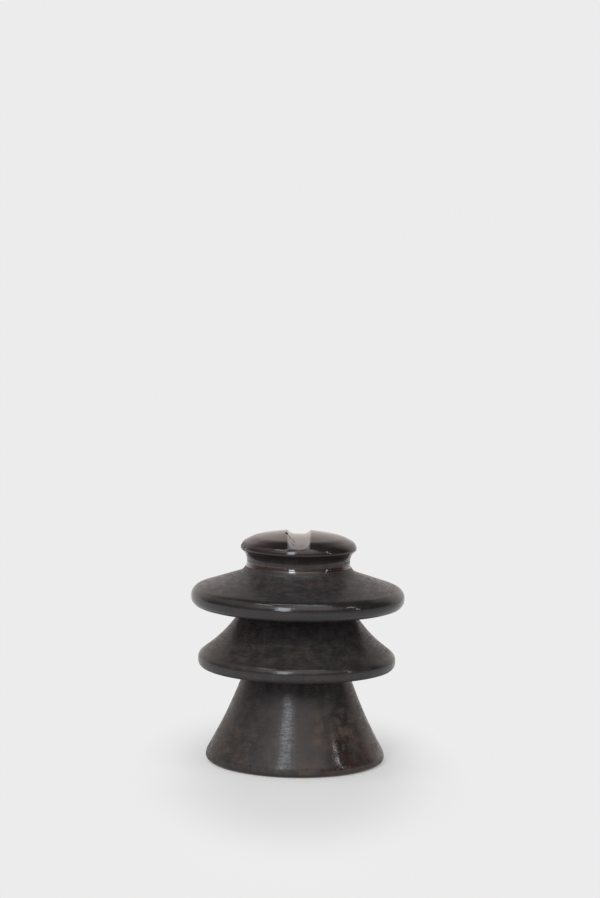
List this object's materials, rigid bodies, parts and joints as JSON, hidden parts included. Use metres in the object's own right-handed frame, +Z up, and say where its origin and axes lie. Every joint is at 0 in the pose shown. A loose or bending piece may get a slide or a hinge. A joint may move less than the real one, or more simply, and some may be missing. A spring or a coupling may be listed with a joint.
{
  "type": "pin-type porcelain line insulator",
  "caption": "Cemented pin-type porcelain line insulator: domed crown with a conductor groove, tie-wire neck, stacked sheds and a flared hollow base with a threaded pin thimble.",
  "frame": {"origin": "centre of the base rim, on the surface the insulator stands on", "axes": "+Z up along the insulator axis; the conductor groove runs along Y"},
  "size_m": [0.2134, 0.2134, 0.2309],
  "materials": {
    "glaze": "dark brown porcelain glaze, satin, dusty",
    "cement": "set Portland cement, matt",
    "sand": "fired-on crushed porcelain grit, rough",
    "cork": "cork, matt",
    "bitumen": "bitumen paint, satin",
    "zinc": "die-cast zinc, dull grey"
  },
  "bodies": {
    "root": {"top_shell": "glaze", "middle_shell": "glaze", "bottom_shell": "glaze", "upper_cement": "cement", "lower_cement": "cement", "thimble_cement": "cement", "middle_head_sand_coat": "sand", "top_socket_sand_coat": "sand", "bottom_head_sand_coat": "sand", "middle_socket_sand_coat": "sand", "pin_hole_sand_coat": "sand", "upper_cork_cushion": "cork", "lower_cork_cushion": "cork", "thimble_end_cushion": "cork", "upper_bitumen_seal": "bitumen", "lower_bitumen_seal": "bitumen", "thimble_bitumen_seal": "bitumen", "thimble_bitumen_coat": "bitumen", "pin_thimble": "zinc"}
  },
  "joints": []
}
